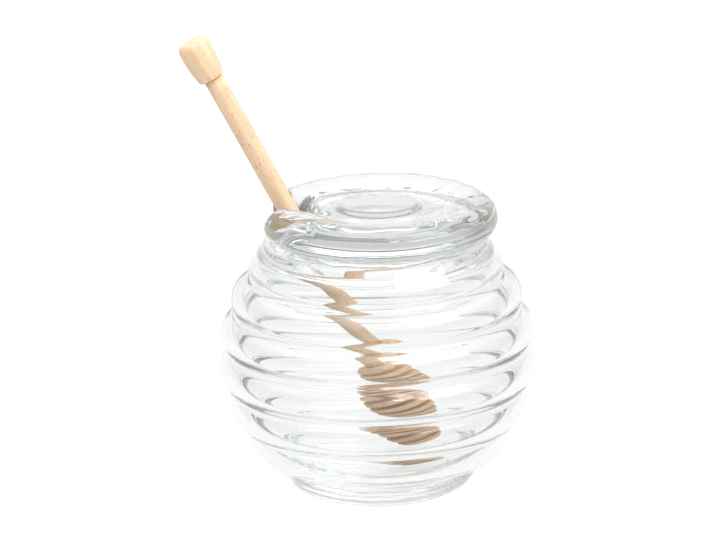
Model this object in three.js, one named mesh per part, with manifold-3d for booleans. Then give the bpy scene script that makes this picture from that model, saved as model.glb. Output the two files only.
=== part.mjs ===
// A clear glass honey pot shaped like a straw beehive: seven rounded rings stacked on a small foot,
// a thick round-edged glass lid with a notch, and a wooden dipper that leans through the notch.
// Millimetres, +Z up. The origin is the centre of the pot's base, on the pot's own axis.
import * as THREE from 'three';
import { mergeVertices } from 'three/addons/utils/BufferGeometryUtils.js';
import Module from 'manifold-3d';

// Pot: the rings follow a hive curve, an ellipse that is taller above its middle than below it
const BELLY_RADIUS = 51.2;
const HIVE_MIDDLE = 44.7;
const HIVE_RISE = 48.2;
const HIVE_DROP = 46.0;
const RINGS_EACH_WAY = 3;
const BELLY_HEIGHT = 41.2;
const RING_PITCH = 12.4;
const PITCH_TAPER = 0.49;
const RING_ROUND = 7.1;
const GROOVE_FILLET = 1.8;
const FOOT_RADIUS = 23.2;
const FOOT_ROUND = 1.0;
const FOOT_FILLET = 0.6;
const NECK_RADIUS = 36.2;
const RIM_ROUND = 1.5;
const RIM_HEIGHT = 83.6;
const WALL = 3.5;
const INSIDE_ROUND = 4.4;
const INSIDE_FILLET = 4.4;
const NECK_EDGE = 1.0;
const MOUTH_RADIUS = NECK_RADIUS - WALL;
const FLOOR_HEIGHT = 6.5;
const FLOOR_FLAT_RADIUS = 22.0;
const FLOOR_BEND = 2.5;
const FLOOR_TURN = THREE.MathUtils.degToRad(-10);

// Lid: a plate with a fully rounded edge, dished round a low boss, with a plug below
const FACE_GAP = 0.3;
const LID_RADIUS = 38.1;
const LID_ROUND = 6.1;
const LID_SHIFT = 1.3;
const BOSS_RADIUS = 11.0;
const BOSS_DROP = 0.4;
const DISH_RADIUS = 16.0;
const DISH_DEPTH = 2.4;
const PLUG_RADIUS = 30.6;
const PLUG_DEPTH = 3.2;
const PLUG_ROUND = 1.2;
const NOTCH_HALF_WIDTH = 6.0;
const NOTCH_END = 20.0;
const NOTCH_CORNER = 6.5;
const NOTCH_TURN = THREE.MathUtils.degToRad(5.5);

// Dipper: a turned head and a turned knob on a quarter-inch dowel
const DIPPER_TILT = THREE.MathUtils.degToRad(27.1);
const DIPPER_END = new THREE.Vector3(14.25, 4.6, 9.9);
const DIPPER_LENGTH = 156.0;
const DOWEL_RADIUS = 3.175;
const HEAD_LENGTH = 33.0;
const HEAD_RADIUS = 10.5;
const HEAD_CURVE = 21.7;
const HEAD_CORE_RADIUS = 4.6;
const HEAD_DISCS = 7;
const DISC_THICKNESS = 2.7;
const KNOB_LENGTH = 13.7;
const KNOB_RADIUS = 5.3;
const KNOB_WIDEST_BELOW_TOP = 4.6;
const KNOB_LIP_RADIUS = 4.15;
const KNOB_TOP_ROUND = 2.0;
const KNOB_LIP_ROUND = 0.5;

// Fineness of the facets
const GLASS_SIDES = 40;
const WOOD_SIDES = 24;
const ARC_STEP = THREE.MathUtils.degToRad(22);
const INSIDE_STEP = THREE.MathUtils.degToRad(35);
const FILLET_STEP = THREE.MathUtils.degToRad(50);
const CURVE_STEPS = 6;
const BEND_STEPS = 3;
const MERGE_DISTANCE = 1e-4;

const clearGlass = new THREE.MeshStandardMaterial({
  color: 0xeaf0ee, roughness: 0.03, metalness: 0, transparent: true, opacity: 0.35,
});
const paleBeech = new THREE.MeshStandardMaterial({ color: 0xe9c79b, roughness: 0.6, metalness: 0 });

const point = (radius, height) => new THREE.Vector2(radius, height);

// Points of an arc, both ends included
function arc(centre, radius, from, to, step) {
  const pieces = Math.max(1, Math.ceil(Math.abs(to - from) / step));
  return Array.from({ length: pieces + 1 }, (_, k) => {
    const angle = from + (to - from) * k / pieces;
    return point(centre.x + radius * Math.cos(angle), centre.y + radius * Math.sin(angle));
  });
}

const angleTo = (from, to) => Math.atan2(to.y - from.y, to.x - from.x);

// Centre of a fillet that lies outside two round beads, the lower one first, and touches both
function filletCentre(lower, upper, fillet) {
  const reach = lower.radius + fillet;
  const gap = upper.centre.clone().sub(lower.centre);
  const span = gap.length();
  const along = (span ** 2 + reach ** 2 - (upper.radius + fillet) ** 2) / (2 * span);
  const out = Math.sqrt(reach ** 2 - along ** 2);
  gap.normalize();
  return lower.centre.clone().addScaledVector(gap, along).add(point(gap.y * out, -gap.x * out));
}

// A profile of radius and height, turned about the Z axis
function turned(profile, sides) {
  return new THREE.LatheGeometry(profile, sides).rotateX(Math.PI / 2);
}

// Pot: the outside runs up a chain of beads, from the foot over the rings, then slants straight to the rim
const RING_NUMBERS = Array.from({ length: 2 * RINGS_EACH_WAY + 1 }, (_, k) => k - RINGS_EACH_WAY);

// A ring's round section, with its crest at a given depth under the hive curve, and the fillet above it
function ringBead(i, depth, radius, fillet) {
  const height = BELLY_HEIGHT + i * (RING_PITCH - PITCH_TAPER * Math.abs(i));
  const curve = height > HIVE_MIDDLE ? HIVE_RISE : HIVE_DROP;
  const crest = BELLY_RADIUS * Math.sqrt(1 - ((height - HIVE_MIDDLE) / curve) ** 2) - depth;
  return { centre: point(crest - radius, height), radius, fillet };
}

// Points up a chain of beads joined by fillets, from one angle on the first bead to another on the last
function beadChain(beads, first, last, step) {
  const line = [];
  let start = first;
  for (let k = 0; k + 1 < beads.length; k += 1) {
    const bead = beads[k];
    const above = beads[k + 1];
    const hollow = filletCentre(bead, above, bead.fillet);
    const end = angleTo(bead.centre, hollow);
    line.push(...arc(bead.centre, bead.radius, start, end, step));
    start = angleTo(above.centre, hollow);
    line.push(...arc(hollow, bead.fillet, end + Math.PI, start + Math.PI, FILLET_STEP).slice(1, -1));
  }
  const top = beads.at(-1);
  return [...line, ...arc(top.centre, top.radius, start, last, step)];
}

function potOutside() {
  const footCentre = point(FOOT_RADIUS - FOOT_ROUND, FOOT_ROUND);
  const foot = { centre: footCentre, radius: FOOT_ROUND, fillet: FOOT_FILLET };
  const rings = RING_NUMBERS.map((i) => ringBead(i, 0, RING_ROUND, GROOVE_FILLET));
  const topRing = rings.at(-1).centre;
  const rim = point(NECK_RADIUS - RIM_ROUND, RIM_HEIGHT - RIM_ROUND);
  const slant = angleTo(topRing, rim) - Math.acos((RING_ROUND - RIM_ROUND) / topRing.distanceTo(rim));
  return [
    ...beadChain([foot, ...rings], -Math.PI / 2, slant, ARC_STEP),
    ...arc(rim, RIM_ROUND, slant, Math.PI / 2, ARC_STEP),
  ];
}

// The inside follows the rings, so that the wall is about equally thick from the floor to the neck,
// where a rounded edge leads into the upright mouth
function potInside() {
  const lipCentre = point(MOUTH_RADIUS + RIM_ROUND, RIM_HEIGHT - RIM_ROUND);
  const lip = arc(lipCentre, RIM_ROUND, Math.PI / 2, Math.PI, ARC_STEP);
  const rings = RING_NUMBERS.map((i) => ringBead(i, WALL, INSIDE_ROUND, INSIDE_FILLET));
  const topRing = rings.at(-1).centre;
  const across = MOUTH_RADIUS + NECK_EDGE - topRing.x;
  const edge = point(topRing.x + across, topRing.y + Math.sqrt((INSIDE_ROUND + NECK_EDGE) ** 2 - across ** 2));
  const turn = angleTo(topRing, edge);
  const wall = [
    ...beadChain(rings, FLOOR_TURN, turn, INSIDE_STEP),
    ...arc(edge, NECK_EDGE, turn + Math.PI, Math.PI, FILLET_STEP).slice(1),
  ].reverse();
  const bendStart = wall.at(-1);
  const corner = point(bendStart.x - FLOOR_BEND, FLOOR_HEIGHT);
  const bend = new THREE.QuadraticBezierCurve(bendStart, corner, point(FLOOR_FLAT_RADIUS, FLOOR_HEIGHT));
  return [...lip, ...wall, ...bend.getPoints(BEND_STEPS).slice(1), point(0, FLOOR_HEIGHT)];
}

function potGeometry() {
  return turned([point(0, 0), ...potOutside(), ...potInside()], GLASS_SIDES);
}

// Lid: turned whole, then the notch is cut out of it
const SEAT_HEIGHT = RIM_HEIGHT + FACE_GAP;
const LID_MIDDLE = SEAT_HEIGHT + LID_ROUND;
const LID_TOP = LID_MIDDLE + LID_ROUND;

function lidProfile() {
  const crest = LID_RADIUS - LID_ROUND;
  const plugBottom = SEAT_HEIGHT - PLUG_DEPTH;
  const dishHeight = LID_TOP - DISH_DEPTH;
  const bossHeight = LID_TOP - BOSS_DROP;
  const plugCorner = point(PLUG_RADIUS - PLUG_ROUND, plugBottom + PLUG_ROUND);
  const slope = (crest + DISH_RADIUS) / 2;
  const foot = (DISH_RADIUS + BOSS_RADIUS) / 2;
  const dishEdge = point(DISH_RADIUS, dishHeight);
  const dish = new THREE.CubicBezierCurve(
    point(crest, LID_TOP), point(slope, LID_TOP), point(slope, dishHeight), dishEdge);
  const boss = new THREE.CubicBezierCurve(
    dishEdge, point(foot, dishHeight), point(foot, bossHeight), point(BOSS_RADIUS, bossHeight));
  return [
    point(0, plugBottom),
    ...arc(plugCorner, PLUG_ROUND, -Math.PI / 2, 0, FILLET_STEP),
    point(PLUG_RADIUS, SEAT_HEIGHT),
    ...arc(point(crest, LID_MIDDLE), LID_ROUND, -Math.PI / 2, Math.PI / 2, ARC_STEP),
    ...dish.getPoints(CURVE_STEPS).slice(1),
    ...boss.getPoints(CURVE_STEPS).slice(1),
    point(0, bossHeight),
  ];
}

// Plan outline of the notch, opening along +X, once its walls stand back by a given amount
function notchOutline(back) {
  const half = NOTCH_HALF_WIDTH + back;
  const corner = NOTCH_CORNER - back;
  const cornerAcross = NOTCH_HALF_WIDTH + NOTCH_CORNER;
  const cornerOut = Math.sqrt((LID_RADIUS - NOTCH_CORNER) ** 2 - cornerAcross ** 2);
  const rimAngle = Math.atan2(cornerAcross, cornerOut);
  const outside = point(Math.cos(rimAngle), Math.sin(rimAngle)).multiplyScalar(LID_RADIUS + LID_ROUND);
  const upperSide = [
    ...arc(point(NOTCH_END + NOTCH_HALF_WIDTH, 0), half, Math.PI, Math.PI / 2, ARC_STEP),
    ...arc(point(cornerOut, cornerAcross), corner, -Math.PI / 2, rimAngle, ARC_STEP),
    outside,
  ];
  const lowerSide = upperSide.slice(1).map((p) => point(p.x, -p.y));
  return [...upperSide.reverse(), ...lowerSide];
}

// The cutter is a stack of those outlines, standing back above and below the lid's middle
// as the lid's own edge does, so that the notch gets the same round edge
function notchGeometry() {
  const heights = [SEAT_HEIGHT - 2 * PLUG_DEPTH];
  const standBack = [LID_ROUND];
  const edge = arc(point(LID_ROUND, LID_MIDDLE), LID_ROUND, -Math.PI / 2, -1.5 * Math.PI, ARC_STEP);
  for (const { x, y } of edge) {
    heights.push(y);
    standBack.push(x);
  }
  heights.push(LID_TOP + LID_ROUND);
  standBack.push(LID_ROUND);
  const loops = standBack.map((back) => notchOutline(back));
  const around = loops[0].length;
  const vertices = loops.flatMap((loop, k) => loop.flatMap((p) => [p.x, p.y, heights[k]]));
  const faces = [];
  for (let k = 0; k + 1 < loops.length; k += 1) {
    for (let j = 0; j < around; j += 1) {
      const here = k * around + j;
      const next = k * around + (j + 1) % around;
      faces.push(here, next, here + around, next, next + around, here + around);
    }
  }
  const topStart = (loops.length - 1) * around;
  for (const [a, b, c] of THREE.ShapeUtils.triangulateShape(loops[0], [])) {
    faces.push(c, b, a, topStart + a, topStart + b, topStart + c);
  }
  const geometry = new THREE.BufferGeometry();
  geometry.setAttribute('position', new THREE.Float32BufferAttribute(vertices, 3));
  geometry.setIndex(faces);
  return geometry.rotateZ(Math.PI - NOTCH_TURN);
}

const wasm = await Module();
wasm.setup();

function solid(geometry) {
  const bare = geometry.clone();
  bare.deleteAttribute('normal');
  bare.deleteAttribute('uv');
  const merged = mergeVertices(bare, MERGE_DISTANCE);
  const corners = merged.index.array;
  const triangles = [];
  for (let k = 0; k < corners.length; k += 3) {
    const [a, b, c] = corners.slice(k, k + 3);
    if (a !== b && b !== c && c !== a) triangles.push(a, b, c);
  }
  return new wasm.Manifold(new wasm.Mesh({
    numProp: 3,
    vertProperties: new Float32Array(merged.attributes.position.array),
    triVerts: new Uint32Array(triangles),
  }));
}

function lidGeometry() {
  const cut = solid(turned(lidProfile(), GLASS_SIDES)).subtract(solid(notchGeometry())).getMesh();
  const geometry = new THREE.BufferGeometry();
  geometry.setAttribute('position', new THREE.BufferAttribute(cut.vertProperties, 3));
  geometry.setIndex(new THREE.BufferAttribute(cut.triVerts, 1));
  geometry.computeVertexNormals();
  return geometry;
}

// Dipper: every piece is turned about the dipper's own axis, with the head's end at height 0
function headGeometry() {
  const middle = HEAD_LENGTH / 2;
  const barrel = (height) => HEAD_RADIUS * Math.sqrt(1 - ((height - middle) / HEAD_CURVE) ** 2);
  const pitch = (HEAD_LENGTH - DISC_THICKNESS) / (HEAD_DISCS - 1);
  const profile = [point(0, 0)];
  for (let disc = 0; disc < HEAD_DISCS; disc += 1) {
    const bottom = disc * pitch;
    const top = bottom + DISC_THICKNESS;
    if (disc > 0) profile.push(point(HEAD_CORE_RADIUS, bottom));
    profile.push(point(barrel(bottom), bottom), point(barrel(top), top));
    if (disc < HEAD_DISCS - 1) profile.push(point(HEAD_CORE_RADIUS, top));
  }
  profile.push(point(0, HEAD_LENGTH));
  return turned(profile, WOOD_SIDES);
}

function dowelGeometry() {
  const length = DIPPER_LENGTH - HEAD_LENGTH - KNOB_LENGTH - 2 * FACE_GAP;
  const bottom = HEAD_LENGTH + FACE_GAP;
  const profile = [
    point(0, bottom),
    point(DOWEL_RADIUS, bottom),
    point(DOWEL_RADIUS, bottom + length),
    point(0, bottom + length),
  ];
  return turned(profile, WOOD_SIDES);
}

function knobGeometry() {
  const widest = DIPPER_LENGTH - KNOB_WIDEST_BELOW_TOP;
  const bottom = DIPPER_LENGTH - KNOB_LENGTH;
  const swell = (KNOB_RADIUS - KNOB_LIP_RADIUS) / (widest - bottom) ** 2;
  const side = (height) => KNOB_RADIUS - swell * (height - widest) ** 2;
  const shoulder = DIPPER_LENGTH - KNOB_TOP_ROUND;
  const lipTop = bottom + KNOB_LIP_ROUND;
  const profile = [point(0, bottom)];
  const lipCorner = point(side(lipTop) - KNOB_LIP_ROUND, lipTop);
  profile.push(...arc(lipCorner, KNOB_LIP_ROUND, -Math.PI / 2, 0, FILLET_STEP));
  for (let k = 1; k < CURVE_STEPS; k += 1) {
    const height = lipTop + (shoulder - lipTop) * k / CURVE_STEPS;
    profile.push(point(side(height), height));
  }
  const topCorner = point(side(shoulder) - KNOB_TOP_ROUND, shoulder);
  profile.push(...arc(topCorner, KNOB_TOP_ROUND, 0, Math.PI / 2, ARC_STEP), point(0, DIPPER_LENGTH));
  return turned(profile, WOOD_SIDES);
}

function named(name, geometry, material) {
  const mesh = new THREE.Mesh(geometry, material);
  mesh.name = name;
  return mesh;
}

const lid = named('lid', lidGeometry(), clearGlass);
lid.position.x = LID_SHIFT;

const dipper = new THREE.Group();
dipper.add(named('dipper_head', headGeometry(), paleBeech));
dipper.add(named('dipper_shaft', dowelGeometry(), paleBeech));
dipper.add(named('dipper_knob', knobGeometry(), paleBeech));
dipper.rotation.y = -DIPPER_TILT;
dipper.position.copy(DIPPER_END);

const honeyPot = new THREE.Group();
honeyPot.add(named('pot', potGeometry(), clearGlass), lid, dipper);

export default honeyPot;
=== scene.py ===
"""A clear glass honey pot in the shape of a ringed beehive, with its notched lid and its wooden dipper.

Everything is in metres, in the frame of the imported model: +Z up, the origin at the centre of the pot's base.
"""
import math

import bpy
import numpy as np
from mathutils import Matrix, Vector, noise
from mathutils.geometry import delaunay_2d_cdt


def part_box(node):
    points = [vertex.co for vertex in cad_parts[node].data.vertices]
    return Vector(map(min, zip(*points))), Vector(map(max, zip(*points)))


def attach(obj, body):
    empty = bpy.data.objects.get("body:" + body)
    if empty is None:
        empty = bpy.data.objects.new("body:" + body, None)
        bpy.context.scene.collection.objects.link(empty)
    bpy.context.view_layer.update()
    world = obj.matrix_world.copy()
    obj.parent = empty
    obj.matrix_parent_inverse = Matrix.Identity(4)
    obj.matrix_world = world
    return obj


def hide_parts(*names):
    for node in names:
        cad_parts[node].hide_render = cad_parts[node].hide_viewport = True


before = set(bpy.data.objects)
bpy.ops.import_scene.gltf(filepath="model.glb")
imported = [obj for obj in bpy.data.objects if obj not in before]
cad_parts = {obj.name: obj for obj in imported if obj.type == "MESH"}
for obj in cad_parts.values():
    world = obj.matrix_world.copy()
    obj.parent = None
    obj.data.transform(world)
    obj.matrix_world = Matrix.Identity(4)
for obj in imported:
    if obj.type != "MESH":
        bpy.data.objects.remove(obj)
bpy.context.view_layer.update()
MM = 0.001


# Camera: a long lens 1.5 m in front of the pot, looking down on it a little, with a small roll.
# The point on the pot's axis at the target height falls on the target pixel of the picture.
PHOTO_WIDTH = 716
PHOTO_HEIGHT = 540
SENSOR_WIDTH = 36.0
FOCAL_PIXELS = 4641.2
CAMERA_DISTANCE = 1500 * MM
CAMERA_ELEVATION = math.radians(17.754)
CAMERA_ROLL = math.radians(1.244)
TARGET = Vector((0, 0, 45 * MM))
TARGET_PIXEL = (377.7, 352.3)

ahead = Vector((0, math.cos(CAMERA_ELEVATION), -math.sin(CAMERA_ELEVATION)))
across = Vector((1, 0, 0))
upwards = across.cross(ahead)
eye = TARGET - ahead * CAMERA_DISTANCE
step_right = PHOTO_WIDTH / 2 - TARGET_PIXEL[0]
step_down = PHOTO_HEIGHT / 2 - TARGET_PIXEL[1]
turn_right = (math.cos(CAMERA_ROLL) * step_right - math.sin(CAMERA_ROLL) * step_down) / FOCAL_PIXELS
turn_down = (math.sin(CAMERA_ROLL) * step_right + math.cos(CAMERA_ROLL) * step_down) / FOCAL_PIXELS
aim = (ahead + across * turn_right - upwards * turn_down).normalized()
camera_right = across * math.cos(CAMERA_ROLL) - upwards * math.sin(CAMERA_ROLL)
camera_right = (camera_right - aim * camera_right.dot(aim)).normalized()
camera_up = camera_right.cross(aim)

camera_data = bpy.data.cameras.new("camera")
camera_data.sensor_width = SENSOR_WIDTH
camera_data.lens = SENSOR_WIDTH * FOCAL_PIXELS / PHOTO_WIDTH
camera = bpy.data.objects.new("camera", camera_data)
bpy.context.scene.collection.objects.link(camera)
camera.matrix_world = Matrix.Translation(eye) @ Matrix((camera_right, camera_up, -aim)).transposed().to_4x4()
bpy.context.scene.camera = camera


# Pot: one piece of clear soda-lime glass, blown into a ringed mould and fire polished at the rim.
# The outside is a chain of round beads joined by small fillets, and a neck that slants straight to the rim.
# The inside follows it, so that the wall is about equally thick and each ring bends the view up and down.
BELLY_RADIUS = 51.2 * MM
HIVE_MIDDLE = 44.7 * MM
HIVE_RISE = 48.2 * MM
HIVE_DROP = 46.0 * MM
RINGS_EACH_WAY = 3
BELLY_HEIGHT = 41.2 * MM
RING_PITCH = 12.4 * MM
PITCH_TAPER = 0.49 * MM
RING_ROUND = 7.1 * MM
GROOVE_FILLET = 1.8 * MM
FOOT_RADIUS = 23.2 * MM
FOOT_ROUND = 1.0 * MM
FOOT_FILLET = 0.6 * MM
NECK_RADIUS = 36.2 * MM
RIM_ROUND = 1.5 * MM
RIM_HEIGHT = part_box("pot")[1].z
WALL = 3.5 * MM
INSIDE_ROUND = 4.4 * MM
INSIDE_FILLET = 4.4 * MM
NECK_EDGE = 1.0 * MM
MOUTH_RADIUS = NECK_RADIUS - WALL
FLOOR_TURN = math.radians(-10)
FLOOR_HEIGHT = 6.5 * MM
FLOOR_FLAT_RADIUS = 22.0 * MM
FLOOR_BEND = 2.5 * MM
POT_SIDES = 200
BEAD_STEP = math.radians(5)
FILLET_STEP = math.radians(10)
BEND_POINTS = 14
FLAT_POINTS = 6
POT_RIPPLE_HEIGHT = 0.05 * MM
POT_RIPPLE_WIDTH = 16 * MM
POT_RIPPLE_SEED = 3.0
MERGE_DISTANCE = 0.001 * MM


def arc(centre, radius, start, end, step):
    """Points of a profile's round stretch, as (radius, height), both ends included."""
    count = max(1, math.ceil(abs(end - start) / step))
    angles = [start + (end - start) * k / count for k in range(count + 1)]
    return [(centre[0] + radius * math.cos(a), centre[1] + radius * math.sin(a)) for a in angles]


def flat(start, end, count):
    """Points of a straight stretch, without its first."""
    shares = [k / count for k in range(1, count + 1)]
    return [(start[0] + (end[0] - start[0]) * s, start[1] + (end[1] - start[1]) * s) for s in shares]


def angle_to(start, end):
    return math.atan2(end[1] - start[1], end[0] - start[0])


def fillet_centre(lower, upper, fillet):
    """Centre of a fillet that lies outside two beads, each a centre and a radius, and touches both."""
    (low_r, low_z), low_round = lower
    (up_r, up_z), up_round = upper
    reach = low_round + fillet
    span = math.hypot(up_r - low_r, up_z - low_z)
    along = (span ** 2 + reach ** 2 - (up_round + fillet) ** 2) / (2 * span)
    out = math.sqrt(reach ** 2 - along ** 2)
    step_r = (up_r - low_r) / span
    step_z = (up_z - low_z) / span
    return low_r + step_r * along + step_z * out, low_z + step_z * along - step_r * out


ring_numbers = range(-RINGS_EACH_WAY, RINGS_EACH_WAY + 1)


def ring_bead(i, round_radius, depth):
    """Centre and radius of a ring's round section, whose crest lies that deep under the hive's curve."""
    height = BELLY_HEIGHT + i * (RING_PITCH - PITCH_TAPER * abs(i))
    curve = HIVE_RISE if height > HIVE_MIDDLE else HIVE_DROP
    crest = BELLY_RADIUS * math.sqrt(1 - ((height - HIVE_MIDDLE) / curve) ** 2) - depth
    return (crest - round_radius, height), round_radius


def bead_chain(beads, fillets, start, end):
    """Points up a chain of beads joined by fillets, from one angle on the first to another on the last."""
    points = []
    for lower, upper, fillet in zip(beads, beads[1:], fillets):
        hollow = fillet_centre(lower, upper, fillet)
        turn = angle_to(lower[0], hollow)
        points += arc(*lower, start, turn, BEAD_STEP)
        start = angle_to(upper[0], hollow)
        points += arc(hollow, fillet, turn + math.pi, start + math.pi, FILLET_STEP)[1:-1]
    return points + arc(*beads[-1], start, end, BEAD_STEP)


def pot_outside():
    foot = ((FOOT_RADIUS - FOOT_ROUND, FOOT_ROUND), FOOT_ROUND)
    rings = [ring_bead(i, RING_ROUND, 0) for i in ring_numbers]
    top_ring = rings[-1][0]
    rim = (NECK_RADIUS - RIM_ROUND, RIM_HEIGHT - RIM_ROUND)
    slant = angle_to(top_ring, rim) - math.acos((RING_ROUND - RIM_ROUND) / math.dist(top_ring, rim))
    fillets = [FOOT_FILLET] + [GROOVE_FILLET] * (len(rings) - 1)
    body = bead_chain([foot, *rings], fillets, -math.pi / 2, slant)
    lip = arc(rim, RIM_ROUND, slant, math.pi / 2, BEAD_STEP)
    return body + flat(body[-1], lip[0], FLAT_POINTS) + lip[1:]


def pot_inside():
    mouth_height = RIM_HEIGHT - RIM_ROUND
    lip = arc((MOUTH_RADIUS + RIM_ROUND, mouth_height), RIM_ROUND, math.pi / 2, math.pi, BEAD_STEP)
    rings = [ring_bead(i, INSIDE_ROUND, WALL) for i in ring_numbers]
    top_ring = rings[-1][0]
    edge_radius = MOUTH_RADIUS + NECK_EDGE
    edge_rise = math.sqrt((INSIDE_ROUND + NECK_EDGE) ** 2 - (edge_radius - top_ring[0]) ** 2)
    edge_centre = (edge_radius, top_ring[1] + edge_rise)
    turn = angle_to(top_ring, edge_centre)
    wall = bead_chain(rings, [INSIDE_FILLET] * (len(rings) - 1), FLOOR_TURN, turn)
    wall += arc(edge_centre, NECK_EDGE, turn + math.pi, math.pi, FILLET_STEP)[1:]
    wall = wall[::-1]
    floor_edge = (FLOOR_FLAT_RADIUS, FLOOR_HEIGHT)
    corner = (wall[-1][0] - FLOOR_BEND, FLOOR_HEIGHT)
    guides = (wall[-1], corner, floor_edge)
    bend = []
    for k in range(1, BEND_POINTS + 1):
        t = k / BEND_POINTS
        shares = ((1 - t) ** 2, 2 * t * (1 - t), t ** 2)
        bend.append(tuple(sum(s * p[i] for s, p in zip(shares, guides)) for i in (0, 1)))
    return lip + wall + bend + flat(floor_edge, (0, FLOOR_HEIGHT), FLAT_POINTS)


def pot_profile():
    base = flat((0, 0), (FOOT_RADIUS - FOOT_ROUND, 0), FLAT_POINTS)[:-1]
    return [(0, 0), *base, *pot_outside(), *pot_inside()]


def add(tree, kind, settings=None, inputs=None):
    """Adds a node with its settings, and sets or links its inputs, given by name or number."""
    node = tree.nodes.new(kind)
    for name, value in (settings or {}).items():
        setattr(node, name, value)
    for key, value in (inputs or {}).items():
        if isinstance(value, bpy.types.NodeSocket):
            tree.links.new(value, node.inputs[key])
        else:
            node.inputs[key].default_value = value
    return node


def linear(code, alpha=1.0):
    """A colour written as an sRGB hex value, as Blender's linear numbers."""
    shares = [int(code[k:k + 2], 16) / 255 for k in (1, 3, 5)]
    return [s / 12.92 if s <= 0.04045 else ((s + 0.055) / 1.055) ** 2.4 for s in shares] + [alpha]


def turning_tree():
    """Turns a profile, drawn as radius along X and height along Z, about the Z axis into a closed solid."""
    tree = bpy.data.node_groups.new("turned piece", "GeometryNodeTree")
    wanted = {"Profile": "Geometry", "Sides": "Int", "Ripple height": "Float", "Ripple width": "Float",
              "Seed": "Float", "Material": "Material"}
    for name, kind in wanted.items():
        tree.interface.new_socket(name, in_out="INPUT", socket_type="NodeSocket" + kind)
    tree.interface.new_socket("Geometry", in_out="OUTPUT", socket_type="NodeSocketGeometry")
    given = add(tree, "NodeGroupInput").outputs
    size = add(tree, "GeometryNodeAttributeDomainSize", {}, {"Geometry": given["Profile"]})
    count = size.outputs["Point Count"]
    columns = add(tree, "ShaderNodeMath", {"operation": "ADD"}, {0: given["Sides"], 1: 1.0}).outputs[0]
    grid = add(tree, "GeometryNodeMeshGrid", {}, {"Vertices X": columns, "Vertices Y": count}).outputs["Mesh"]
    index = add(tree, "GeometryNodeInputIndex").outputs[0]
    along = add(tree, "ShaderNodeMath", {"operation": "FLOORED_MODULO"}, {0: index, 1: count}).outputs[0]
    beyond = add(tree, "ShaderNodeMath", {"operation": "SUBTRACT"}, {0: index, 1: along}).outputs[0]
    column = add(tree, "ShaderNodeMath", {"operation": "DIVIDE"}, {0: beyond, 1: count}).outputs[0]
    turn = add(tree, "ShaderNodeMath", {"operation": "DIVIDE"}, {0: column, 1: given["Sides"]}).outputs[0]
    angle = add(tree, "ShaderNodeMath", {"operation": "MULTIPLY"}, {0: turn, 1: 2 * math.pi}).outputs[0]
    position = add(tree, "GeometryNodeInputPosition").outputs[0]
    sample = add(tree, "GeometryNodeSampleIndex", {"data_type": "FLOAT_VECTOR"},
                 {"Geometry": given["Profile"], "Value": position, "Index": along}).outputs[0]
    turned = add(tree, "ShaderNodeVectorRotate", {"rotation_type": "Z_AXIS"},
                 {"Vector": sample, "Angle": angle}).outputs[0]
    placed = add(tree, "GeometryNodeSetPosition", {}, {"Geometry": grid, "Position": turned}).outputs[0]
    closed = add(tree, "GeometryNodeMergeByDistance", {},
                 {"Geometry": placed, "Distance": MERGE_DISTANCE}).outputs[0]
    waves = add(tree, "ShaderNodeMath", {"operation": "DIVIDE"},
                {0: 1.0, 1: given["Ripple width"]}).outputs[0]
    ripples = add(tree, "ShaderNodeTexNoise", {"noise_dimensions": "4D"},
                  {"Vector": position, "W": given["Seed"], "Scale": waves, "Detail": 1.0}).outputs[0]
    centred = add(tree, "ShaderNodeMath", {"operation": "SUBTRACT"}, {0: ripples, 1: 0.5}).outputs[0]
    depth = add(tree, "ShaderNodeMath", {"operation": "MULTIPLY"},
                {0: centred, 1: given["Ripple height"]}).outputs[0]
    normal = add(tree, "GeometryNodeInputNormal").outputs[0]
    offset = add(tree, "ShaderNodeVectorMath", {"operation": "SCALE"}, {0: normal, "Scale": depth}).outputs[0]
    rippled = add(tree, "GeometryNodeSetPosition", {}, {"Geometry": closed, "Offset": offset}).outputs[0]
    smooth = add(tree, "GeometryNodeSetShadeSmooth", {}, {"Geometry": rippled}).outputs[0]
    real = add(tree, "GeometryNodeRealizeInstances", {}, {"Geometry": smooth}).outputs[0]
    finished = add(tree, "GeometryNodeSetMaterial", {},
                   {"Geometry": real, "Material": given["Material"]}).outputs[0]
    add(tree, "NodeGroupOutput", {}, {"Geometry": finished})
    return tree


turned_piece = turning_tree()


def turn_piece(name, profile, material, sides, ripple=(0.0, 1.0), seed=0.0):
    """A piece turned from its profile, as a plain mesh on the Z axis."""
    line = bpy.data.meshes.new(name + "_profile")
    line.from_pydata([(r, 0, z) for r, z in profile], [(k, k + 1) for k in range(len(profile) - 1)], [])
    piece = bpy.data.objects.new(name, line)
    bpy.context.scene.collection.objects.link(piece)
    modifier = piece.modifiers.new("turned", "NODES")
    modifier.node_group = turned_piece
    given = {"Sides": sides, "Ripple height": ripple[0], "Ripple width": ripple[1], "Seed": seed,
             "Material": material}
    for item in turned_piece.interface.items_tree:
        if item.name in given:
            modifier[item.identifier] = given[item.name]
    evaluated = piece.evaluated_get(bpy.context.evaluated_depsgraph_get())
    mesh = bpy.data.meshes.new_from_object(evaluated)
    piece.modifiers.clear()
    piece.data = mesh
    bpy.data.meshes.remove(line)
    return piece


def stand_for(piece, node):
    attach(piece, "root")
    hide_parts(node)


# Clear soda-lime glass, moulded and fire polished: a wet gloss, colourless where it is thin and faintly
# grey where it is thick, with slow waves where the surface cooled unevenly.
GLASS_IOR = 1.5
GLASS_ROUGHNESS = 0.0
GLASS_WAVE_WIDTH = 9 * MM
GLASS_WAVE_HEIGHT = 0.02 * MM
GLASS_SURFACE = "#fafbfb"
GLASS_TINT = "#dddfde"
GLASS_TINT_PER_METRE = 20.0


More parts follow.
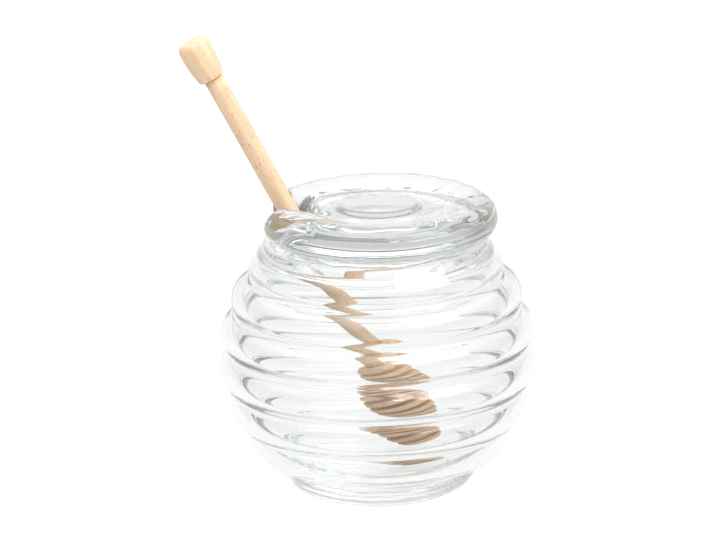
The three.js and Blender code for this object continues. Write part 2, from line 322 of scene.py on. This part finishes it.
def clear_glass():
    material = bpy.data.materials.new("clear soda-lime glass")
    material.use_nodes = True
    tree = material.node_tree
    tree.nodes.clear()
    place = add(tree, "ShaderNodeTexCoord").outputs["Object"]
    waves = add(tree, "ShaderNodeTexNoise", {},
                {"Vector": place, "Scale": 1 / GLASS_WAVE_WIDTH, "Detail": 1.0}).outputs[0]
    bump = add(tree, "ShaderNodeBump", {}, {"Height": waves, "Strength": 1.0, "Distance": GLASS_WAVE_HEIGHT})
    shader = add(tree, "ShaderNodeBsdfPrincipled", {}, {
        "Base Color": linear(GLASS_SURFACE), "Transmission Weight": 1.0, "IOR": GLASS_IOR,
        "Roughness": GLASS_ROUGHNESS, "Normal": bump.outputs[0]})
    tint = add(tree, "ShaderNodeVolumeAbsorption", {},
               {"Color": linear(GLASS_TINT), "Density": GLASS_TINT_PER_METRE})
    add(tree, "ShaderNodeOutputMaterial", {}, {"Surface": shader.outputs[0], "Volume": tint.outputs[0]})
    return material


glass = clear_glass()
pot_ripple = (POT_RIPPLE_HEIGHT, POT_RIPPLE_WIDTH)
pot = turn_piece("glass_pot", pot_profile(), glass, POT_SIDES, pot_ripple, POT_RIPPLE_SEED)
stand_for(pot, "pot")


# Lid: a thick plate of the same glass with a fully rounded edge, dished round a low boss, and a shallow plug
# below that sits in the mouth. A round-ended notch for the dipper opens to the left. Pressed in one piece.
LID_RADIUS = 38.1 * MM
LID_ROUND = 6.1 * MM
LID_SHIFT = 1.3 * MM
SEAT_GAP = 0.3 * MM
LID_SEAT = RIM_HEIGHT + SEAT_GAP
BOSS_RADIUS = 11.0 * MM
BOSS_DROP = 0.4 * MM
DISH_RADIUS = 16.0 * MM
DISH_DEPTH = 2.4 * MM
PLUG_RADIUS = 30.6 * MM
PLUG_DEPTH = 3.2 * MM
PLUG_ROUND = 1.6 * MM
LID_WAVE_WIDTH = 5.0 * MM
LID_WAVE_FADE = 12.0 * MM
LID_TOP_WAVE = 0.2 * MM
LID_TOP_LAYER = 0.0
LID_BOTTOM_WAVE = 1.0 * MM
LID_BOTTOM_LAYER = 40.0
NOTCH_HALF_WIDTH = 6.0 * MM
NOTCH_END = 20.0 * MM
NOTCH_CORNER = 6.5 * MM
NOTCH_TURN = math.radians(5.5)
LID_MIDDLE = LID_SEAT + LID_ROUND
LID_TOP = LID_MIDDLE + LID_ROUND
LID_EDGE_SPACING = 0.7 * MM
LID_EDGE_LOOPS = 22
LID_FACE_SPACING = 0.65 * MM


def lid_outline():
    """Points of the lid's plan with the directions into the glass. The notch opens along +X."""
    corner_across = NOTCH_HALF_WIDTH + NOTCH_CORNER
    corner_out = math.sqrt((LID_RADIUS - NOTCH_CORNER) ** 2 - corner_across ** 2)
    rim = math.atan2(corner_across, corner_out)
    wall_end = NOTCH_END + NOTCH_HALF_WIDTH
    quarter = math.pi / 2
    stretches = [
        ((0, 0), LID_RADIUS, rim, 2 * math.pi - rim, -1),
        ((corner_out, -corner_across), NOTCH_CORNER, -rim, quarter, -1),
        ((wall_end, 0), NOTCH_HALF_WIDTH, -quarter, -3 * quarter, 1),
        ((corner_out, corner_across), NOTCH_CORNER, -quarter, rim, -1),
    ]
    points = []
    inward = []
    for centre, radius, start, end, side in stretches:
        for r, z in arc((0, 0), 1, start, end, LID_EDGE_SPACING / radius)[:-1]:
            points.append((centre[0] + radius * r, centre[1] + radius * z))
            inward.append((side * r, side * z))
        last = (centre[0] + radius * math.cos(end), centre[1] + radius * math.sin(end))
        if side == 1 or (start < 0 and end == quarter):
            across_to = (corner_out if side == 1 else wall_end, last[1])
            count = math.ceil(abs(across_to[0] - last[0]) / LID_EDGE_SPACING)
            for p in [last] + flat(last, across_to, count)[:-1]:
                points.append(p)
                inward.append((0, math.copysign(1, last[1])))
    return np.array(points), np.array(inward)


def smoother(share):
    """A step from 0 to 1 that starts and ends level and without a kink."""
    s = np.clip(share, 0, 1)
    return s ** 3 * (10 - 15 * s + 6 * s ** 2)


def lid_waves(plan, layer):
    """Uneven waves of the pressed faces, from -1 to 1, at points of the lid's plan."""
    places = [Vector((x, y, 0)) / LID_WAVE_WIDTH + Vector((0, 0, layer)) for x, y in plan]
    return np.array([noise.noise(place) for place in places])


def lid_heights(plan, inset):
    """Heights of the lid's upper and lower faces at points of its plan that lie so far inside the outline."""
    centre = np.hypot(plan[:, 0], plan[:, 1])
    crest = LID_RADIUS - LID_ROUND
    into_dish = smoother((crest - centre) / (crest - DISH_RADIUS))
    onto_boss = smoother((DISH_RADIUS - centre) / (DISH_RADIUS - BOSS_RADIUS))
    top = LID_TOP - DISH_DEPTH * into_dish + (DISH_DEPTH - BOSS_DROP) * onto_boss
    bottom = LID_SEAT - PLUG_DEPTH * smoother((PLUG_RADIUS - centre) / PLUG_ROUND)
    wavy = smoother((centre - DISH_RADIUS) / LID_WAVE_FADE)
    top = top + LID_TOP_WAVE * lid_waves(plan, LID_TOP_LAYER) * wavy
    bottom = bottom + LID_BOTTOM_WAVE * (1 + lid_waves(plan, LID_BOTTOM_LAYER)) / 2 * wavy
    edge = np.sqrt(1 - (1 - np.clip(inset / LID_ROUND, 0, 1)) ** 2)
    return LID_MIDDLE + (top - LID_MIDDLE) * edge, LID_MIDDLE - (LID_MIDDLE - bottom) * edge


def face_points(outline):
    """Points of the lid's plan inside its rounded edge, on rings about the centre."""
    found = []
    for k in range(1, int(LID_RADIUS / LID_FACE_SPACING)):
        radius = k * LID_FACE_SPACING
        count = math.ceil(2 * math.pi * radius / LID_FACE_SPACING)
        angles = 2 * math.pi * (np.arange(count) + 0.5 * (k % 2)) / count
        found.append(np.stack([radius * np.cos(angles), radius * np.sin(angles)], 1))
    points = np.concatenate([np.zeros((1, 2))] + found)
    clear = np.array([np.min(np.hypot(*(outline - p).T)) for p in points])
    notch = (points[:, 0] > NOTCH_END + NOTCH_HALF_WIDTH) & (np.abs(points[:, 1]) < NOTCH_HALF_WIDTH)
    end = np.hypot(points[:, 0] - NOTCH_END - NOTCH_HALF_WIDTH, points[:, 1]) < NOTCH_HALF_WIDTH
    inside = (np.hypot(*points.T) < LID_RADIUS) & ~notch & ~end
    return points[inside & (clear > LID_ROUND + LID_FACE_SPACING / 2)]


def lid_mesh():
    outline, inward = lid_outline()
    around = len(outline)
    quarter = math.pi / 2
    insets = [LID_ROUND * (1 - math.cos(quarter * k / LID_EDGE_LOOPS)) for k in range(LID_EDGE_LOOPS + 1)]
    loops = [outline + inward * d for d in insets]
    face = face_points(outline)
    edges = [(k, (k + 1) % around) for k in range(around)]
    plan_points = [Vector(p) for p in np.concatenate([loops[-1], face])]
    filled = delaunay_2d_cdt(plan_points, edges, [], 1, 1e-9)
    fill_plan = np.array([tuple(p) for p in filled[0]])
    fill_inset = np.full(len(fill_plan), LID_ROUND)
    vertices = []
    faces = []
    starts = {}
    for side in (0, 1):
        for k, (loop, d) in enumerate(zip(loops[:-1], insets)):
            if side == 1 and k == 0:
                starts[side, 0] = starts[0, 0]
                continue
            starts[side, k] = len(vertices)
            heights = lid_heights(loop, np.full(around, d))[side]
            vertices += [(x, y, z) for (x, y), z in zip(loop, heights)]
        base = len(vertices)
        heights = lid_heights(fill_plan, fill_inset)[side]
        vertices += [(x, y, z) for (x, y), z in zip(fill_plan, heights)]
        last = [0] * around
        for new, old in enumerate(filled[3]):
            for k in old:
                if k < around:
                    last[k] = base + new
        rows = [[starts[side, k] + j for j in range(around)] for k in range(LID_EDGE_LOOPS)] + [last]
        for outer, inner in zip(rows, rows[1:]):
            for j in range(around):
                n = (j + 1) % around
                quad = (outer[j], outer[n], inner[n], inner[j])
                faces.append(quad if side == 0 else quad[::-1])
        for triangle in filled[2]:
            corners = [base + k for k in triangle]
            faces.append(corners if side == 0 else corners[::-1])
    mesh = bpy.data.meshes.new("glass_lid")
    mesh.from_pydata(vertices, [], faces)
    mesh.polygons.foreach_set("use_smooth", [True] * len(mesh.polygons))
    mesh.transform(Matrix.Translation((LID_SHIFT, 0, 0)) @ Matrix.Rotation(math.pi - NOTCH_TURN, 4, "Z"))
    mesh.materials.append(glass)
    return mesh


lid = bpy.data.objects.new("glass_lid", lid_mesh())
bpy.context.scene.collection.objects.link(lid)
stand_for(lid, "lid")


# Dipper: three pieces of pale beech, turned and sanded but not varnished. A quarter-inch dowel is glued
# into a grooved head and into a knob. It leans through the notch, with its head on the pot's floor.
DIPPER_TILT = math.radians(27.1)
DIPPER_END = Vector((14.25, 4.6, 9.9)) * MM
DIPPER_LENGTH = 156.0 * MM
DOWEL_RADIUS = 3.175 * MM
JOINT_GAP = 0.3 * MM
HEAD_LENGTH = 33.0 * MM
HEAD_RADIUS = 10.5 * MM
HEAD_CURVE = 21.7 * MM
HEAD_CORE_RADIUS = 4.6 * MM
HEAD_DISCS = 7
DISC_THICKNESS = 2.7 * MM
DISC_ROUND = 0.4 * MM
KNOB_LENGTH = 13.7 * MM
KNOB_OFFSET = -0.45 * MM
KNOB_RADIUS = 5.3 * MM
KNOB_WIDEST_BELOW_TOP = 4.6 * MM
KNOB_LIP_RADIUS = 4.15 * MM
KNOB_TOP_ROUND = 2.0 * MM
KNOB_LIP_ROUND = 0.5 * MM
WOOD_SIDES = 96
CURVE_POINTS = 24
CORNER_STEP = math.radians(15)
dipper_place = Matrix.Translation(DIPPER_END) @ Matrix.Rotation(-DIPPER_TILT, 4, "Y")


def head_profile():
    middle = HEAD_LENGTH / 2
    pitch = (HEAD_LENGTH - DISC_THICKNESS) / (HEAD_DISCS - 1)
    quarter = math.pi / 2
    points = [(0, 0)]
    for disc in range(HEAD_DISCS):
        bottom = disc * pitch
        top = bottom + DISC_THICKNESS
        core = HEAD_CORE_RADIUS + DISC_ROUND
        if disc > 0:
            points += arc((core, bottom - DISC_ROUND), DISC_ROUND, -math.pi, -3 * quarter, CORNER_STEP)
        low = HEAD_RADIUS * math.sqrt(1 - ((bottom - middle) / HEAD_CURVE) ** 2)
        high = HEAD_RADIUS * math.sqrt(1 - ((top - middle) / HEAD_CURVE) ** 2)
        points += arc((low - DISC_ROUND, bottom + DISC_ROUND), DISC_ROUND, -quarter, 0, CORNER_STEP)
        points += arc((high - DISC_ROUND, top - DISC_ROUND), DISC_ROUND, 0, quarter, CORNER_STEP)
        if disc < HEAD_DISCS - 1:
            points += arc((core, top + DISC_ROUND), DISC_ROUND, -quarter, -math.pi, CORNER_STEP)
    return points + [(0, HEAD_LENGTH)]


def shaft_profile():
    bottom = HEAD_LENGTH + JOINT_GAP
    top = DIPPER_LENGTH - KNOB_LENGTH - JOINT_GAP
    corner = (DOWEL_RADIUS, bottom)
    return [(0, bottom), corner, *flat(corner, (DOWEL_RADIUS, top), CURVE_POINTS), (0, top)]


def knob_profile():
    widest = DIPPER_LENGTH - KNOB_WIDEST_BELOW_TOP
    bottom = DIPPER_LENGTH - KNOB_LENGTH
    swell = (KNOB_RADIUS - KNOB_LIP_RADIUS) / (widest - bottom) ** 2
    lip_top = bottom + KNOB_LIP_ROUND
    shoulder = DIPPER_LENGTH - KNOB_TOP_ROUND
    heights = [lip_top + (shoulder - lip_top) * k / CURVE_POINTS for k in range(CURVE_POINTS + 1)]
    side = [(KNOB_RADIUS - swell * (z - widest) ** 2, z) for z in heights]
    lip = arc((side[0][0] - KNOB_LIP_ROUND, lip_top), KNOB_LIP_ROUND, -math.pi / 2, 0, CORNER_STEP)
    top = arc((side[-1][0] - KNOB_TOP_ROUND, shoulder), KNOB_TOP_ROUND, 0, math.pi / 2, CORNER_STEP)
    return [(0, bottom), *lip, *side[1:-1], *top, (0, DIPPER_LENGTH)]


# Pale steamed beech, turned and sanded: matt and cream to light tan, with fine long grain and the short
# brown dashes of its rays.
WOOD_PALE = "#edd3b4"
WOOD_TAN = "#e1b388"
WOOD_DASH = "#8d5a30"
GRAIN_WIDTH = 1.4 * MM
GRAIN_LENGTH = 22 * MM
GRAIN_PALE_BELOW = 0.25
GRAIN_TAN_ABOVE = 0.95
GRAIN_RELIEF = 0.4
GRAIN_DEPTH = 0.1 * MM
DASH_WIDTH = 0.4 * MM
DASH_LENGTH = 1.8 * MM
DASH_FROM = 0.62
DASH_FULL = 0.75
DASH_STRENGTH = 0.6
WOOD_ROUGHNESS = 0.55


def beech():
    material = bpy.data.materials.new("pale beech")
    material.use_nodes = True
    tree = material.node_tree
    tree.nodes.clear()
    place = add(tree, "ShaderNodeTexCoord").outputs["Object"]
    axis = add(tree, "ShaderNodeMapping", {"vector_type": "POINT"},
               {"Vector": place, "Rotation": (0, DIPPER_TILT, 0)}).outputs[0]
    grain_place = add(tree, "ShaderNodeMapping", {}, {
        "Vector": axis, "Scale": (1 / GRAIN_WIDTH, 1 / GRAIN_WIDTH, 1 / GRAIN_LENGTH)}).outputs[0]
    grain = add(tree, "ShaderNodeTexNoise", {}, {"Vector": grain_place, "Scale": 1.0, "Detail": 3.0})
    dash_place = add(tree, "ShaderNodeMapping", {}, {
        "Vector": axis, "Scale": (1 / DASH_WIDTH, 1 / DASH_WIDTH, 1 / DASH_LENGTH)}).outputs[0]
    dash = add(tree, "ShaderNodeTexNoise", {}, {"Vector": dash_place, "Scale": 1.0, "Detail": 1.0})
    share = add(tree, "ShaderNodeMapRange", {}, {
        "Value": grain.outputs[0], 1: GRAIN_PALE_BELOW, 2: GRAIN_TAN_ABOVE}).outputs[0]
    mark = add(tree, "ShaderNodeMapRange", {}, {
        "Value": dash.outputs[0], 1: DASH_FROM, 2: DASH_FULL, 4: DASH_STRENGTH}).outputs[0]
    body = add(tree, "ShaderNodeMix", {"data_type": "RGBA"}, {
        "Factor": share, 6: linear(WOOD_PALE), 7: linear(WOOD_TAN)}).outputs[2]
    colour = add(tree, "ShaderNodeMix", {"data_type": "RGBA"}, {
        "Factor": mark, 6: body, 7: linear(WOOD_DASH)})
    bump = add(tree, "ShaderNodeBump", {}, {
        "Height": grain.outputs[0], "Strength": GRAIN_RELIEF, "Distance": GRAIN_DEPTH})
    shader = add(tree, "ShaderNodeBsdfPrincipled", {}, {
        "Base Color": colour.outputs[2], "Roughness": WOOD_ROUGHNESS, "Normal": bump.outputs[0]})
    add(tree, "ShaderNodeOutputMaterial", {}, {"Surface": shader.outputs[0]})
    return material


wood = beech()
for name, profile, offset in (("head", head_profile(), 0.0), ("shaft", shaft_profile(), 0.0),
                              ("knob", knob_profile(), KNOB_OFFSET)):
    piece = turn_piece("wooden_" + name, profile, wood, WOOD_SIDES)
    piece.data.transform(dipper_place @ Matrix.Translation((offset, 0, 0)))
    stand_for(piece, "dipper_" + name)


# Floor and light: a plain white sweep that glows, so that hardly any shadow shows, a large soft light at the
# front right and a small one nearer the camera. The white room is dimmer behind the camera and at both
# sides, which draws the grey lines in the glass, and brighter overhead. Its limits are parts of a direction.
FLOOR_SIZE = 6.0
FLOOR_DROP = 0.05 * MM
FLOOR_GLOW = 1.0
FLOOR_SHADE = 0.03
ROOM_BACK = 1.0
ROOM_FRONT = 0.6
FRONT_LIMITS = (-0.7, 0.1)
ROOM_SIDE = 0.5
SIDE_LIMITS = (0.3, 0.95)
ROOM_TOP = 1.3
TOP_LIMITS = (0.3, 1.0)
LIGHT_BOUNCES = 40
GLASS_BOUNCES = 36
CLEAR_BOUNCES = 16


def white_floor():
    material = bpy.data.materials.new("white paper sweep")
    material.use_nodes = True
    tree = material.node_tree
    tree.nodes.clear()
    glow = add(tree, "ShaderNodeEmission", {}, {"Color": (1, 1, 1, 1), "Strength": FLOOR_GLOW})
    paper = add(tree, "ShaderNodeBsdfDiffuse", {}, {"Color": (FLOOR_SHADE, FLOOR_SHADE, FLOOR_SHADE, 1)})
    both = add(tree, "ShaderNodeAddShader", {}, {0: glow.outputs[0], 1: paper.outputs[0]})
    add(tree, "ShaderNodeOutputMaterial", {}, {"Surface": both.outputs[0]})
    return material


floor_mesh = bpy.data.meshes.new("floor")
half = FLOOR_SIZE / 2
floor_mesh.from_pydata([(-half, -half, -FLOOR_DROP), (half, -half, -FLOOR_DROP), (half, half, -FLOOR_DROP),
                        (-half, half, -FLOOR_DROP)], [], [(0, 1, 2, 3)])
floor_mesh.materials.append(white_floor())
floor = bpy.data.objects.new("floor", floor_mesh)
bpy.context.scene.collection.objects.link(floor)

world = bpy.data.worlds.new("white room")
bpy.context.scene.world = world
world.use_nodes = True
world.node_tree.nodes.clear()
direction = add(world.node_tree, "ShaderNodeTexCoord").outputs["Generated"]
parts = add(world.node_tree, "ShaderNodeSeparateXYZ", {}, {0: direction}).outputs


def room_ramp(value, limits, start, end):
    """A soft change of the room's brightness as a part of the direction goes between two limits."""
    return add(world.node_tree, "ShaderNodeMapRange", {"interpolation_type": "SMOOTHSTEP"},
               {"Value": value, 1: limits[0], 2: limits[1], 3: start, 4: end}).outputs[0]


depth = room_ramp(parts[1], FRONT_LIMITS, ROOM_FRONT, ROOM_BACK)
aside = add(world.node_tree, "ShaderNodeMath", {"operation": "ABSOLUTE"}, {0: parts[0]}).outputs[0]
side = room_ramp(aside, SIDE_LIMITS, 1.0, ROOM_SIDE)
ceiling = room_ramp(parts[2], TOP_LIMITS, 0.0, ROOM_TOP)
walls = add(world.node_tree, "ShaderNodeMath", {"operation": "MULTIPLY"}, {0: depth, 1: side}).outputs[0]
strength = add(world.node_tree, "ShaderNodeMath", {"operation": "ADD"}, {0: walls, 1: ceiling}).outputs[0]
room = add(world.node_tree, "ShaderNodeBackground", {}, {"Color": (1, 1, 1, 1), "Strength": strength})
add(world.node_tree, "ShaderNodeOutputWorld", {}, {"Surface": room.outputs[0]})


def soft_light(name, azimuth, elevation, distance, width, height, radiance):
    """A rectangular soft light, azimuth from the camera's side towards +X, aimed at the pot's middle."""
    data = bpy.data.lights.new(name, "AREA")
    data.shape = "RECTANGLE"
    data.size = width
    data.size_y = height
    data.energy = radiance * math.pi * width * height
    light = bpy.data.objects.new(name, data)
    bpy.context.scene.collection.objects.link(light)
    a = math.radians(azimuth)
    e = math.radians(elevation)
    out = Vector((math.sin(a) * math.cos(e), -math.cos(a) * math.cos(e), math.sin(e)))
    light.location = TARGET + out * distance
    light.rotation_mode = "QUATERNION"
    light.rotation_quaternion = out.to_track_quat("Z", "Y")


soft_light("near_front", azimuth=17, elevation=45, distance=1.4, width=0.16, height=0.16, radiance=12.0)
soft_light("right_front", azimuth=55, elevation=50, distance=1.4, width=1.0, height=1.0, radiance=3.5)

scene = bpy.context.scene
scene.view_settings.view_transform = "Standard"
scene.cycles.max_bounces = LIGHT_BOUNCES
scene.cycles.transmission_bounces = GLASS_BOUNCES
scene.cycles.glossy_bounces = GLASS_BOUNCES
scene.cycles.transparent_max_bounces = CLEAR_BOUNCES
